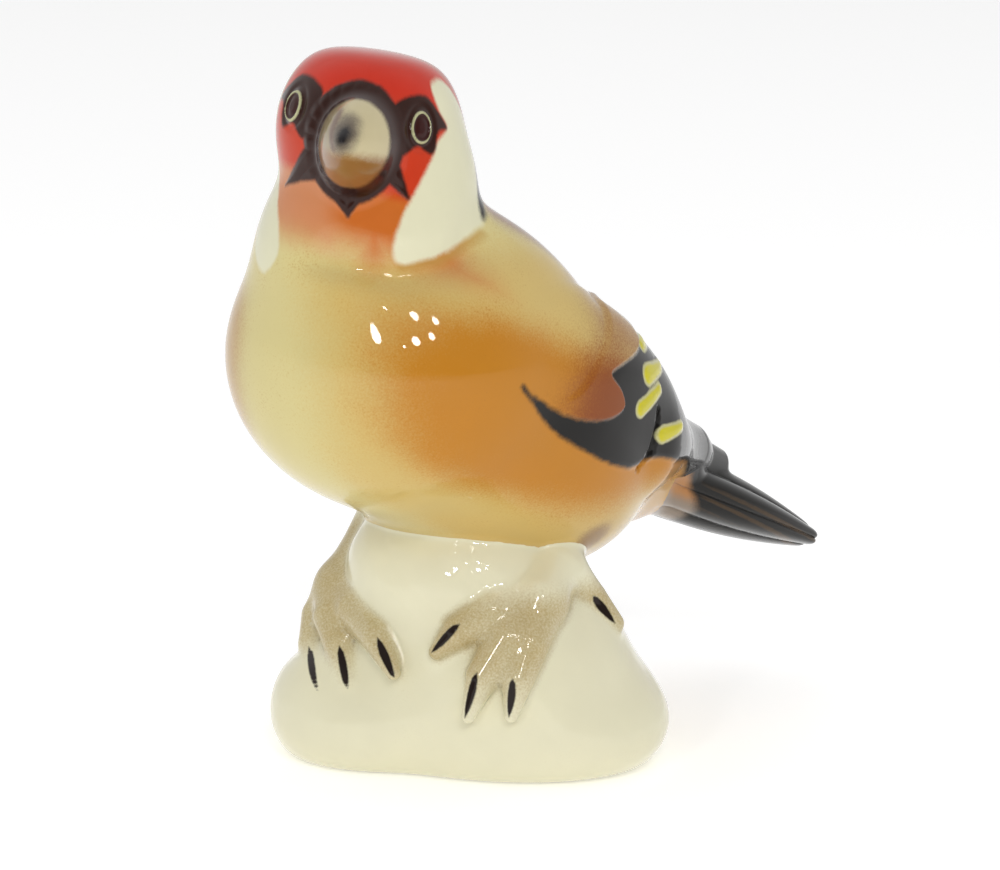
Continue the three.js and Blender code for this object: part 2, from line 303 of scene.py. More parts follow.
# %% Body and head
BODY_LUMPS = [  # from the body's middle: where, half-lengths, tilt about X
    ((1.4, 0.6, -8.1), (17.0, 20.5, 13.4), -32),  # belly
    ((-0.7, -11.1, 0.9), (17.8, 15.3, 15.2), 0),  # breast
    ((2.0, -1.6, 0.1), (14.5, 19.0, 11.8), -50),  # mantle
    ((3.3, 14.9, -11.6), (9.5, 14.0, 7.2), -34),  # rump
    ((-1.4, -14.1, 11.6), (11.6, 10.4, 12.0), 0),  # neck
]
HEAD_MIDDLE = HEAD + (-0.5, -0.2, 0.8)
HEAD_AXES = turn("z", 26) @ turn("y", 9) @ turn("x", -7)
CROWN_HEIGHT, CROWN_FALL = 8.7, 0.010
SEAM_HEIGHT, SEAM_SLOPE = -5.5, 0.62  # the luted seam, from under the beak up to the nape


def in_head(p):
    """A point in the head's own directions, in millimetres from its middle."""
    return (p - HEAD_MIDDLE) @ HEAD_AXES


def body_form(p):
    """The five lumps of the body, run together."""
    lumps = [lump(p, BODY + at, radii, tilt) for at, radii, tilt in BODY_LUMPS]
    return smooth_join(1.5, *lumps)


def head_form(p):
    """Skull and cheeks run together, then cut by the gently domed crown."""
    q = in_head(p)
    skull = lump(q, (-1.0, 1.0, 1.0), (9.1, 10.3, 9.2))
    cheeks = lump(q, (1.4, 0.8, -4.5), (9.3, 9.0, 9.0))
    crown = q[..., 2] - CROWN_HEIGHT + CROWN_FALL * (q[..., 0] ** 2 + (q[..., 1] - 1) ** 2)
    return smooth_cut(0.7, smooth_join(1.0, skull, cheeks), crown)


def above_seam(p):
    """Height over the sloping neck seam."""
    q = in_head(p)
    return (q[..., 2] - SEAM_HEIGHT - SEAM_SLOPE * q[..., 1]) / math.hypot(1, SEAM_SLOPE)


chin = HEAD_MIDDLE + np.array([0, 0, -9.0])
print(f"under the chin the seam is {above_seam(chin):.1f} mm away")

# %% [markdown]
# ## Beak
# The beak is a stubby cone with full sides, pressed from a little mould of its own. A straight cone
# looks like a thorn, so the width falls with a power of the way to the tip: slowly at first, and fast
# at the end.

# %% Beak
BEAK_START, BEAK_LENGTH = -7.0, 10.5
BEAK_WIDTH, BEAK_TALL, BEAK_BLUNT = 3.7, 4.8, 0.35  # half-sizes at the root, and at the tip


def beak_form(p):
    """A short cone with full sides. Its half-width and half-height fall with a power of the way to
    the tip."""
    q = in_head(p)
    share = np.clip((-q[..., 1] + BEAK_START) / BEAK_LENGTH, 0, 1)
    width = BEAK_WIDTH * (1 - share**1.7) + BEAK_BLUNT
    tall = BEAK_TALL * (1 - share**1.6) + BEAK_BLUNT
    k = np.sqrt((q[..., 0] / width) ** 2 + ((q[..., 2] + 0.6 - 0.5 * share) / tall) ** 2 + 1e-9)
    flank = (k - 1) * np.minimum(width, tall) * 0.7
    ends = np.maximum(-q[..., 1] - 17.6, q[..., 1] + 5)
    return smooth_cut(0.3, flank, ends)


print(f"the beak is {BEAK_LENGTH} mm long and {2 * BEAK_TALL:.1f} mm deep at its root")

# %% [markdown]
# ## Wings and flight feathers
# A folded wing is a flat egg laid on the flank. It runs back over the rump, where the long flight
# feathers stick out as two rolls over the root of the tail. The right wing is the left one mirrored in
# the bird's middle plane, which a field does by mirroring the point that it is asked about.

# %% Wings and flight feathers
MIRROR = BODY[0] + 1.5  # the bird's middle plane
WING_MIDDLE = LEFT_WING + (-0.7, -5.9, 1.0)
WING_WRIST = LEFT_WING + (-1.2, 3.1, -5.5)
WING_END = LEFT_WING + (-4.0, 17.6, -8.7)


def mirrored(p):
    """The point reflected in the bird's middle plane: x becomes twice MIRROR less x."""
    q = p.copy()
    q[..., 0] = 2 * MIRROR - q[..., 0]
    return q


def wing_form(p):
    """A flat egg for the folded wing, run into a rod that carries it back over the rump."""
    blade = lump(p, WING_MIDDLE, (5.2, 17.0, 8.6), -30)
    return smooth_join(1.0, blade, rod(p, WING_WRIST, WING_END, 5.0, 2.2))


def right_wing_form(p):
    """The left wing's distance, asked at the mirrored point."""
    return wing_form(mirrored(p))


LEFT_QUILL = (TAIL + (3.2, -13.9, 8.5), TAIL + (2.4, -1.9, 3.9))
RIGHT_QUILL = (TAIL + (-9.4, -13.9, 8.9), TAIL + (-2.0, -1.9, 4.5))


QUILL_RADII = (2.6, 1.5)


def left_quill_form(p):
    """One tapered rod for the left flight feathers."""
    return rod(p, *LEFT_QUILL, *QUILL_RADII)


def right_quill_form(p):
    """One tapered rod for the right flight feathers."""
    return rod(p, *RIGHT_QUILL, *QUILL_RADII)


print("the left wing's middle is at", WING_MIDDLE.round(1))

# %% [markdown]
# ## Tail
# The closed tail is a flattened bar whose upper side is ribbed by the quills, cut off askew. It is
# worked out in its own directions: to the side, along its axis, and above it.

# %% Tail
TAIL_ROOT, TAIL_TIP = TAIL + (-2.9, -17.4, 6.7), TAIL + (3.2, 12.8, -6.7)
TAIL_LENGTH = np.linalg.norm(TAIL_TIP - TAIL_ROOT)
TAIL_WAY = (TAIL_TIP - TAIL_ROOT) / TAIL_LENGTH
TAIL_SIDE = np.cross(TAIL_WAY, (0, 0, 1)) / np.linalg.norm(np.cross(TAIL_WAY, (0, 0, 1)))
TAIL_UP = np.cross(TAIL_SIDE, TAIL_WAY)


def in_tail(p):
    """How far a point is to the side, along and above the tail's axis: three dot products."""
    q = p - TAIL_ROOT
    return q @ TAIL_SIDE, q @ TAIL_WAY, q @ TAIL_UP


def tail_form(p):
    """An oval section whose half-width swells and whose half-height thins towards the end, with the
    quills as rounded ridges on its upper side, and a blunt end cut askew."""
    side, along, above = in_tail(p)
    share = np.clip(along / TAIL_LENGTH, 0, 1)
    width = 5.4 + 1.2 * np.sin(np.pi * share**1.2) - 1.0 * share**3
    tall = 3.2 + 0.9 * np.sin(np.pi * share) - 1.75 * share**2.2
    k = np.sqrt((side / width) ** 2 + (above / tall) ** 2 + 1e-9)
    flank = (k - 1) * np.sqrt(side**2 + above**2 + 1e-6) / np.maximum(k, 1e-6)
    turned = np.arctan2(above / tall, side / width)
    quills = np.abs(np.sin(4 * turned + 0.3)) ** 0.6
    flank = flank + 0.55 * (1 - quills) * ease(3, 11, along)
    askew = along - TAIL_LENGTH - 0.2 + 0.30 * (above - 0.5) + 0.10 * side
    return smooth_cut(0.35, flank * 0.8, np.maximum(-along - 2, askew))


print(f"the tail is {TAIL_LENGTH:.1f} mm long")

# %% [markdown]
# ## Rock
# The rock is a wide skirt with a mound on it, a seat for the belly and one bulge in front. It is
# hollow and flat underneath, so the lumps are cut by the table with a soft rim.

# %% Rock
ROCK_LUMPS = [  # from the rock's middle: where, half-lengths
    ((-0.1, 2.1, -8.1), (21.2, 14.6, 9.0)),  # skirt
    ((1.7, 0.1, -3.5), (16.0, 13.0, 13.0)),  # mound
    ((0.2, -2.9, 7.5), (11.5, 10.0, 8.0)),  # seat under the belly
    ((-7.8, -7.5, -7.9), (10.2, 9.4, 8.0)),  # bulge at the front
]


def rock_form(p):
    """Four lumps, cut flat at the table with a soft rim."""
    lumps = [lump(p, ROCK + at, radii) for at, radii in ROCK_LUMPS]
    return smooth_cut(0.5, smooth_join(1.6, *lumps), -p[..., 2])


print(f"the rock is made of {len(ROCK_LUMPS)} lumps")

# %% [markdown]
# ## Feet
# A modeller rolls each toe as a thin sausage and presses it on to the rock. Here a toe is a chain of
# tapered rods, and the leg is a thicker one that runs up into the belly.

# %% Feet
TOE_RADII = (2.2, 1.9, 1.6, 0.7)
LEG_RADII = (3.2, 3.0, 2.7)
HIND_RADII = (2.0, 1.4, 0.9)
LEFT_CHAINS = {  # from the left foot's middle: the points of each limb, and its radii
    "leg": ([(-1.4, 7.1, 7.7), (0.8, 3.6, 5.7), (1.8, 0.1, 3.5)], LEG_RADII),
    "inner": ([(1.6, 0.6, 3.5), (-0.9, -4.2, 2.7), (-3.2, -6.7, 0.7), (-5.0, -8.1, -1.4)], TOE_RADII),
    "middle": ([(1.8, 0.1, 3.2), (1.1, -4.5, 0.2), (-0.2, -6.9, -3.5), (-0.7, -8.5, -7.3)], TOE_RADII),
    "outer": ([(2.4, 0.1, 3.0), (3.2, -3.2, -0.3), (3.1, -5.1, -3.5), (3.0, -6.3, -7.1)], TOE_RADII),
    "hind": ([(2.0, 5.1, 5.2), (3.4, 7.3, 2.5), (5.2, 8.7, -0.3)], HIND_RADII),
}
RIGHT_CHAINS = {
    "leg": ([(-2.8, 5.1, 6.7), (-3.8, 3.1, 3.2), (-4.2, -0.9, -0.3)], LEG_RADII),
    "outer": ([(-4.5, -0.9, -0.3), (-6.1, -2.7, -3.3), (-5.6, -4.3, -5.7), (-2.8, -6.7, -8.3)],
              TOE_RADII),
    "middle": ([(-4.7, -1.1, -0.3), (-3.0, -4.7, -2.5), (-0.6, -6.4, -4.7), (2.2, -8.3, -7.9)],
               TOE_RADII),
    "inner": ([(-4.2, -0.9, -0.1), (0.3, -4.9, -1.1), (4.6, -7.1, -2.9), (8.0, -8.6, -5.9)], TOE_RADII),
    "hind": ([(-4.6, 4.1, 2.7), (-6.4, 6.6, -0.3), (-8.0, 8.6, -3.7)], HIND_RADII),
}


def limb_form(p, points, radii):
    """Rods end to end: the least of their distances."""
    rods = [rod(p, *pair) for pair in zip(points[:-1], points[1:], radii[:-1], radii[1:])]
    return np.minimum.reduce(rods)


def placed(chains, middle):
    """The chains' points moved to their foot's middle, with their radii."""
    return {name: (middle + np.array(points), radii) for name, (points, radii) in chains.items()}


LIMBS = {"left": placed(LEFT_CHAINS, LEFT_FOOT), "right": placed(RIGHT_CHAINS, RIGHT_FOOT)}


def foot_form(p, side):
    """The leg and four toes of one foot, run together."""
    return smooth_join(0.5, *[limb_form(p, *limb) for limb in LIMBS[side].values()])


print(f"each foot has {len(LEFT_CHAINS)} limbs: {', '.join(LEFT_CHAINS)}")

# %% [markdown]
# ## The whole form, and where each cast piece ends
# The glazed surface is where the joined field is zero. A piece owns the stretch where its own form is
# the nearest one. Past its border its skin sinks slowly into its neighbour, so that each piece is a
# closed solid, nothing gapes, and the border itself can't be seen.

# %% Field of the whole figurine
FORMS = {
    "body": body_form, "head": head_form, "beak": beak_form, "tail": tail_form, "rock": rock_form,
    "left_wing": wing_form, "right_wing": right_wing_form,
    "left_quill": left_quill_form, "right_quill": right_quill_form,
    "left_foot": lambda p: foot_form(p, "left"), "right_foot": lambda p: foot_form(p, "right"),
}
NEIGHBOURS = {  # what each piece runs into
    "rock": ["body", "left_foot", "right_foot"],
    "body": ["head", "left_wing", "right_wing", "rock", "tail", "left_foot", "right_foot",
             "left_quill", "right_quill"],
    "head": ["body", "beak"],
    "beak": ["head"],
    "left_wing": ["body", "left_quill", "tail"],
    "right_wing": ["body", "right_quill", "tail"],
    "left_quill": ["body", "left_wing", "tail", "right_quill"],
    "right_quill": ["body", "right_wing", "tail", "left_quill"],
    "tail": ["body", "left_quill", "right_quill", "left_wing", "right_wing"],
    "left_foot": ["body", "rock"],
    "right_foot": ["body", "rock"],
}
SINK = 0.6  # how steeply a skin dives past its border
NECK_JOINT, CLOSE_JOINT = 0.75, 0.45  # softness of the joints, in millimetres


def joined(parts):
    """The soft minimum of all the given forms. Body and head share a softer joint than the rest."""
    parts = dict(parts)
    if "body" in parts and "head" in parts:
        parts["body"] = smooth_join(NECK_JOINT, parts.pop("body"), parts.pop("head"))
    return smooth_join(CLOSE_JOINT, *parts.values())


def surface_field(p, piece):
    """The shared surface near one piece: the joined distances of the piece and its neighbours."""
    return joined({name: FORMS[name](p) for name in [piece, *NEIGHBOURS[piece]]})


def piece_field(p, piece, own=None):
    """The shared surface, lowered by SINK times how far the point is past the piece's border."""
    parts = {name: FORMS[name](p) for name in [piece, *NEIGHBOURS[piece]]}
    whole = joined(parts)
    mine = parts[piece] if own is None else own(p)
    others = [d for name, d in parts.items() if name != piece and {piece, name} != {"body", "head"}]
    past = mine - np.minimum.reduce(others) if others else np.full(mine.shape, -9.0)
    if piece in ("body", "head"):
        past = np.maximum(past, above_seam(p) * (1 if piece == "body" else -1))
    return whole + SINK * np.maximum(past, 0)


print(f"{len(FORMS)} forms meet at {sum(map(len, NEIGHBOURS.values())) // 2} joints")

# %% [markdown]
# ## Skins
# A skin is a grid of rays. Each ray starts on a line through the middle of the piece, leaves it at an
# angle, and stops at the first place where the field is zero. The rays fan out at both ends of the
# line, so the grid closes in a point there, like the stem and the eye of an apple.

# %% Casting a skin
def cast_skin(field, spine, around, along, cap=0.3):
    """Points of a closed grid. The row w starts at the spine's point for w, leans by pi w from
    pointing backwards to pointing forwards, and the column turns about the spine."""
    spine = np.asarray(spine, float)
    w = np.linspace(0, 1, along)
    place = np.clip((w - cap) / (1 - 2 * cap), 0, 1) if len(spine) > 1 else w * 0
    knots = np.linspace(0, 1, len(spine))
    start = np.stack([np.interp(place, knots, spine[:, i]) for i in range(3)], -1)
    way = spine[-1] - spine[0] if len(spine) > 1 else np.array([0.0, 0.0, 1.0])
    way = way / np.linalg.norm(way)
    lean = np.pi * w if len(spine) == 1 else np.pi / 2 * (
        np.clip(w / cap, 0, 1) + np.clip((w - 1 + cap) / cap, 0, 1))
    side = np.cross(way, (0.0, 0.0, 1.0) if abs(way[2]) < 0.9 else (0.0, 1.0, 0.0))
    side /= np.linalg.norm(side)
    other = np.cross(way, side)
    angle = np.linspace(0, 2 * np.pi, around, endpoint=False)
    ring = np.cos(angle)[:, None] * side + np.sin(angle)[:, None] * other
    rays = -np.cos(lean)[:, None, None] * way + np.sin(lean)[:, None, None] * ring
    starts = np.broadcast_to(start[:, None], rays.shape)
    return walk_out(field, starts.reshape(-1, 3), rays.reshape(-1, 3)).reshape(along, around, 3)


def walk_out(field, starts, rays, steps=60, closeness=2e-4):
    """Walks along each ray by the distance that the field gives, until that distance is nothing."""
    reach = np.zeros(len(rays))
    moving = np.arange(len(rays))
    for _ in range(steps):
        gap = -field(starts[moving] + rays[moving] * reach[moving, None])
        reach[moving] += gap * 0.9
        moving = moving[np.abs(gap) > closeness]
        if not len(moving):
            break
    return starts + rays * reach[:, None]


def slopes(field, p, step=0.02):
    """Outward unit normals from the field's own slope, by central differences."""
    shifts = np.eye(3) * step
    g = np.stack([field(p + shift) - field(p - shift) for shift in shifts], -1)
    return g / np.maximum(np.linalg.norm(g, axis=-1, keepdims=True), 1e-9)


trial = cast_skin(head_form, [HEAD_MIDDLE], 24, 12)
print("a coarse trial skin of the head measures", np.ptp(trial.reshape(-1, 3), axis=0).round(1), "mm")

# %% [markdown]
# ## From a skin to a mesh
# The grid's rows become rings of four-sided faces, and each end closes in a fan of triangles. The
# normals come from the field's slope and not from the faces, so the glaze mirrors a truly smooth form.

# %% From grids to a mesh
def grid_faces(along, around, first):
    """Quads between neighbouring rows, and triangles that close the two ends in one point each."""
    rows = first + 1 + np.arange((along - 2) * around).reshape(along - 2, around)
    ahead = np.roll(rows, -1, axis=1)
    quads = np.stack([rows[:-1], ahead[:-1], ahead[1:], rows[1:]], -1).reshape(-1, 4)
    last = first + 1 + (along - 2) * around
    start = np.stack([np.full(around, first), ahead[0], rows[0]], -1)
    end = np.stack([np.full(around, last), rows[-1], ahead[-1]], -1)
    return quads, np.concatenate([start, end])


def mesh_from_grids(name, grids):
    """One mesh from one or more closed grids. Where a grid's volume, the sum of its faces' triple
    products, comes out negative, its faces are turned round."""
    points, quads, triangles, count = [], [], [], 0
    for grid in grids:
        along, around = grid.shape[:2]
        shell = np.concatenate([grid[:1, 0], grid[1:-1].reshape(-1, 3), grid[-1:, 0]])
        q, t = grid_faces(along, around, count)
        middle = shell.mean(0)
        a, b, c = (shell[t[:, i] - count] - middle for i in range(3))
        fan = np.einsum("ij,ij->i", a, np.cross(b, c)).sum()
        qa, qb, qc, qd = (shell[q[:, i] - count] - middle for i in range(4))
        volume = fan + np.einsum("ij,ij->i", qa, np.cross(qb, qc) + np.cross(qc, qd)).sum()
        if volume < 0:
            q, t = q[:, ::-1], t[:, ::-1]
        points.append(shell)
        quads.append(q)
        triangles.append(t)
        count += len(shell)
    points, quads, triangles = map(np.concatenate, (points, quads, triangles))
    mesh = bpy.data.meshes.new(name)
    mesh.vertices.add(len(points))
    mesh.vertices.foreach_set("co", (points * MM).ravel())
    corners = np.concatenate([quads.ravel(), triangles.ravel()])
    mesh.loops.add(len(corners))
    mesh.loops.foreach_set("vertex_index", corners)
    sizes = np.concatenate([np.full(len(quads), 4), np.full(len(triangles), 3)])
    mesh.polygons.add(len(sizes))
    mesh.polygons.foreach_set("loop_start", np.concatenate([[0], np.cumsum(sizes)[:-1]]))
    mesh.polygons.foreach_set("use_smooth", np.ones(len(sizes), bool))
    mesh.update(calc_edges=True)
    return mesh, points


def raised(grid, field, relief):
    """The grid with each point moved out along the slope by the relief's height there."""
    p = grid.reshape(-1, 3)
    moved = p + slopes(field, p) * relief(p)[:, None]
    moved = moved.reshape(grid.shape)
    moved[0], moved[-1] = moved[0].mean(0), moved[-1].mean(0)
    return moved


def add_piece(name, node, grids, normal_field, masks, material):
    """A finished piece: its mesh, the true normals of its form, its paint masks and its material. It
    rides on the one body and stands for its cast node."""
    mesh, points = mesh_from_grids(name, grids)
    mesh.normals_split_custom_set_from_vertices(slopes(normal_field, points).tolist())
    for mask, depth in masks(points).items():
        mesh.attributes.new(mask, "FLOAT", "POINT").data.foreach_set("value", depth.astype(np.float32))
    mesh.materials.append(material)
    piece = bpy.data.objects.new(name, mesh)
    bpy.context.scene.collection.objects.link(piece)
    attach(piece, "root")
    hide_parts(node)
    size = points.max(0) - points.min(0)
    print(f"{name}: {len(points)} points, {size[0]:.1f} x {size[1]:.1f} x {size[2]:.1f} mm")


quads, triangles = grid_faces(12, 24, 0)
print(f"the trial skin would have {len(quads)} four-sided faces and {len(triangles)} triangles")

# %% [markdown]
# ## Where the colours go
# The painter works in two ways. The ochre of the breast is sprayed, so it has no edge at all and shows
# a fine grain. The red face, the black feathers and the claws are brushed, with edges a third of a
# millimetre soft. Both need to know how deep inside a painted area a point lies. On the head that is
# worked out on a chart of the skin, unrolled round the head's upright axis. On a wing it is worked out
# on its flat side. A chart measures in millimetres, so that an outline can be drawn as on paper.

# %% Drawing tools: ovals, strokes and outlines
def oval(c, middle, radii):
    """Depth inside an ellipse: k (1 - k) / g, as for a lump."""
    q = c - np.asarray(middle, float)
    radii = np.asarray(radii, float)
    k = np.linalg.norm(q / radii, axis=-1)
    g = np.linalg.norm(q / radii**2, axis=-1)
    return k * (1 - k) / np.maximum(g, 1e-6)


def stroke(c, *touches):
    """Depth inside a brush stroke, the greatest of its rods' depths. Each touch is a point followed by
    the brush's half-width there."""
    pairs = zip(touches[:-1], touches[1:])
    return np.maximum.reduce([-rod(c, a[:-1], b[:-1], a[-1], b[-1]) for a, b in pairs])


def outline(c, points, reach=4.0):
    """Depth inside a smooth closed curve through the points: the distance to the nearest piece of the
    curve, positive inside, where a line to the right crosses the curve an odd number of times. The
    curve between two points is the cubic that leaves each along the line between its neighbours."""
    points = np.asarray(points, float)
    before, after = np.roll(points, 1, 0), np.roll(points, -1, 0)
    after_next = np.roll(points, -2, 0)
    t = np.linspace(0, 1, 7)[:-1, None, None]
    bend = (2 * points + (after - before) * t
            + (2 * before - 5 * points + 4 * after - after_next) * t**2
            + (3 * points - before - 3 * after + after_next) * t**3) / 2
    curve = bend.transpose(1, 0, 2).reshape(-1, 2)
    depth = np.full(c.shape[:-1], -reach)
    near = np.all((c > curve.min(0) - reach) & (c < curve.max(0) + reach), axis=-1)
    q = c[near]
    gap = np.full(len(q), reach**2)
    inside = np.zeros(len(q), bool)
    for start, end in zip(curve, np.roll(curve, -1, 0)):
        edge = end - start
        share = np.clip((q - start) @ edge / (edge @ edge), 0, 1)[:, None]
        gap = np.minimum(gap, ((q - start - share * edge) ** 2).sum(-1))
        crosses = (start[1] > q[:, 1]) != (end[1] > q[:, 1])
        rise = edge[1] if abs(edge[1]) > 1e-9 else 1e-9
        inside ^= crosses & (q[:, 0] < start[0] + edge[0] * (q[:, 1] - start[1]) / rise)
    depth[near] = np.sqrt(gap) * np.where(inside, 1, -1)
    return depth


def on_head(p):
    """The head's chart: 10 mm of width for each radian round the head, and height."""
    q = in_head(p)
    return np.stack([np.arctan2(q[..., 0], -q[..., 1]) * 10, q[..., 2]], -1)


def flipped(c, middle):
    """A chart's point on the other side of its middle line: twice the middle less the point."""
    return np.stack([2 * middle - c[..., 0], c[..., 1]], -1)


WING_REAR = turn("x", -30) @ (0, 1, 0)
WING_HIGH = turn("x", -30) @ (0, 0, 1)


def on_wing(p):
    """The left wing's chart: how far back along the folded wing a point lies, and how high, which are
    two dot products."""
    q = p - WING_MIDDLE
    return np.stack([q @ WING_REAR, q @ WING_HIGH], -1)


print("the middle of an oval of half-lengths 2 and 1 is", oval(np.full(2, 1e-6), (0, 0), (2, 1)), "deep")

# %% [markdown]
# ## The painted face
# A goldfinch's red face is painted first, as one broad patch. The dark surrounds of the eyes and of
# the beak go over it, then a fine pale line for each eyelid. Each is an oval, a stroke or an outline
# on the head's chart. The far side of the face mirrors the near one, but its eye is set a little
# lower, as a hand would.

# %% Painted areas of the face
EYE, OTHER_EYE = (7.1, 2.1), (-8.7, 1.9)
EYE_SIZE = (1.3, 1.45)
EYE_MIDDLE = -0.8  # the chart's line halfway between the eyes


def eyes(c):
    """Depth inside either eye: the greater of two ovals' depths."""
    return np.maximum(oval(c, EYE, EYE_SIZE), oval(c, OTHER_EYE, EYE_SIZE))


def eye_patch(c):
    """The dark outline round an eye, with its points behind and below, and the same one flipped."""
    points = [(3.3, 3.8), (5.4, 4.9), (8.0, 5.1), (9.8, 3.9), (11.3, 2.4), (9.7, 1.9), (8.8, -0.3),
              (6.7, 0.2), (4.6, -1.0), (3.0, 1.0)]
    return np.maximum(outline(c, points), outline(flipped(c, EYE_MIDDLE), points))


def beak_ring(c):
    """The dark surround of the beak, its point under the chin and its two whiskers."""
    ring = oval(c, (-0.5, -0.4), (5.6, 6.1))
    chin = stroke(c, (-0.4, -4.0, 3.6), (0.3, -7.5, 0.2))
    whisker = stroke(c, (4.0, -2.4, 1.2), (6.3, -4.8, 0.2))
    long_whisker = stroke(c, (-5.0, -3.2, 1.7), (-7.6, -4.6, 0.8), (-10.2, -6.0, 0.1))
    return np.maximum.reduce([ring, chin, whisker, long_whisker])


def white_cheeks(c):
    """The white of both cheeks, which curls under from beside the crown to the throat."""
    near = [(9.7, 6.3), (9.9, 4.2), (11.3, 2.4), (9.6, 1.1), (8.6, -0.8), (7.1, -3.9), (6.0, -6.6),
            (5.5, -9.3), (6.2, -11.2), (8.9, -10.4), (12.4, -8.3), (16.2, -5.5), (18.0, -1.0),
            (17.6, 3.5), (14.5, 6.6)]
    far = [(-13.4, 5.5), (-13.0, 2.0), (-13.2, -2.0), (-12.9, -5.0), (-11.2, -7.6), (-8.9, -10.3),
           (-8.4, -13.0), (-11.0, -14.8), (-15.0, -11.5), (-18.5, -3.0), (-18.5, 3.5), (-16.0, 6.5)]
    return np.maximum(outline(c, near), outline(c, far))


def face_masks(p):
    """Depths in millimetres inside each painted area of the head."""
    c, q = on_head(p), in_head(p)
    eye = eyes(c)
    collar = [(23.0, 4.0, 4.0), (18.3, -2.0, 1.6), (15.6, -6.0, 0.1)]
    nape = np.minimum(q[..., 1] - 3.5, q[..., 2] - 0.5)
    cap = np.maximum.reduce([nape, stroke(c, *collar), stroke(flipped(c, EYE_MIDDLE), *collar)])
    return {
        "throat": np.maximum(
            np.minimum(c[..., 1] + 10.2 + 0.10 * c[..., 0], 14.5 - np.abs(c[..., 0] + 2.5)),
            stroke(c, (3.0, -6.0, 3.4), (3.8, -10.2, 1.4))),
        "throat_left": np.minimum(np.minimum(-c[..., 0] - 1.5, c[..., 1] + 10.5), c[..., 0] + 16.5),
        "red": np.minimum(c[..., 1] + 4.6 + 0.06 * c[..., 0], 16 - np.abs(c[..., 0] + 0.8)),
        "crown": c[..., 1] - 4.0,
        "cap": cap,
        "cheek": white_cheeks(c),
        # painted shade: a tan stroke in the furrow under the cheek
        "crease": stroke(c, (6.6, -11.6, 0.3), (10.3, -10.1, 0.5), (14.6, -7.3, 0.4)),
        "dark": np.maximum(eye_patch(c), beak_ring(c)),
        "eye": eye,
        "lid": 0.13 - np.abs(eye),
    }


print(f"the face has {len(face_masks(HEAD_MIDDLE + np.eye(3)))} painted areas")

# %% [markdown]
# ## The painted wings
# The folded wing is black with a yellow tip to each long feather, round at one end and thin at the
# other, each with a cream edge. The shoulder in front stays red-brown. The outlines lie on the wing's
# flat side, and the right wing asks for them at the mirrored point.

# %% Painted areas of a wing
SHOULDER = [(-15.5, -3.9), (-11.5, -4.5), (-7.3, -4.4), (-3.2, -3.0), (-0.9, -0.9), (-2.1, 0.6),
            (-4.2, 1.4), (-3.3, 2.6), (0.1, 5.4), (1.0, 7.0), (-0.8, 8.8), (-8.0, 10.5), (-17.0, 5.0),
            (-20.0, 0.0)]
COVERTS = [(-15.4, -4.1), (-11.8, -5.6), (-7.5, -6.5), (-1.0, -6.5), (4.0, -5.6), (6.9, -3.9),
           (8.6, -2.8), (13.0, -1.6), (18.0, -0.3), (31.0, 0.0), (26.0, 8.0), (10.0, 13.0),
           (-2.0, 12.0), (-6.0, 4.0), (-9.0, -3.0)]
PETALS = [  # the yellow tips of the feathers: brush strokes from a round end to a thin one
    ((2.8, 4.1, 0.95), (6.4, 6.3, 0.40)), ((2.4, 0.3, 0.75), (5.4, 3.5, 0.50)),
    ((7.9, -0.5, 0.75), (11.4, 1.7, 0.35)), ((2.1, 7.0, 0.60), (4.3, 8.6, 0.50)),
    ((3.4, 9.9, 0.7), (5.4, 11.2, 0.35)),
]

WING_REACH = 3.5  # how far from the wing's own form its paint may run
ON_QUILL = 0.6  # nearer than this to a flight feather, a point counts as on it
PETAL_EDGE = 0.28  # the cream edge round a yellow tip


def wing_masks(p):
    """Depths inside each painted area of both wings, less how far a point is off the wing."""
    masks = {}
    for q, side in ((p, 1), (mirrored(p), -1)):
        c = on_wing(q)
        off = np.maximum(wing_form(q) - WING_REACH, (MIRROR + 3 - q[..., 0]) * 2)
        quill = left_quill_form(p) if side == 1 else right_quill_form(p)
        shoulder = outline(c, SHOULDER)
        feathers = np.maximum(np.minimum(outline(c, COVERTS), -shoulder), 2.0 - quill * 2)
        petals = np.maximum.reduce([stroke(c, *petal) for petal in PETALS])
        areas = {"coverts": feathers, "petal": petals, "petal_edge": petals + PETAL_EDGE}
        off = np.where(quill < ON_QUILL, -5, off)
        for name, depth in areas.items():
            masks[name] = np.maximum(masks.get(name, -9), depth - np.maximum(off, 0) * 2)
        rust = ease(-14, -3, c[..., 0]) * ease(-0.8, 0.4, shoulder) * (1 - ease(0.5, 2.5, off))
        rust = rust * (0.55 + 0.45 * ease(5, -1, c[..., 1]))
        masks["chestnut"] = np.maximum(masks.get("chestnut", 0), rust)
    return masks


print(f"each wing has {len(PETALS)} yellow tips")

# %% [markdown]
# ## The sprayed body
# An airbrush leaves no edge. The ochre lies on the bird's left breast and flank, over a wider breath of
# gold, and fades to ivory on the right. Each sprayed colour is a product of S-shaped ramps across the
# breast, towards the rear and up. One hairline at the rump is a real flaw of luted ware: the slip
# shrinks away from the joint in the fire.

# %% Sprayed areas of the body
def breast_ochre(across, rear, up):
    """Cover of the ochre on the bird's left breast and flank, and of the gold sprayed round it. Each is
    a ramp across the breast, times a fade below that drops towards the flank, times one above."""
    side = ease(1.0, 15.5, across + 0.25 * np.clip(up, 0, 12))
    below = ease(-6.0, 5.0, up + 7.6 + 0.72 * (across - 8))
    above = 1 - ease(-5.0, 3.0, up - 10.8 + 0.45 * (rear + 20))
    thin = 1 - 0.35 * ease(3, 10, up) * ease(-13, -18, rear)
    wide = ease(-5.0, 9.0, across + 0.25 * np.clip(up, 0, 12)) * ease(-10.0, 2.0, up + 8 + across)
    return side * below * above * thin, wide * (1 - ease(-3, 6, up - 12))


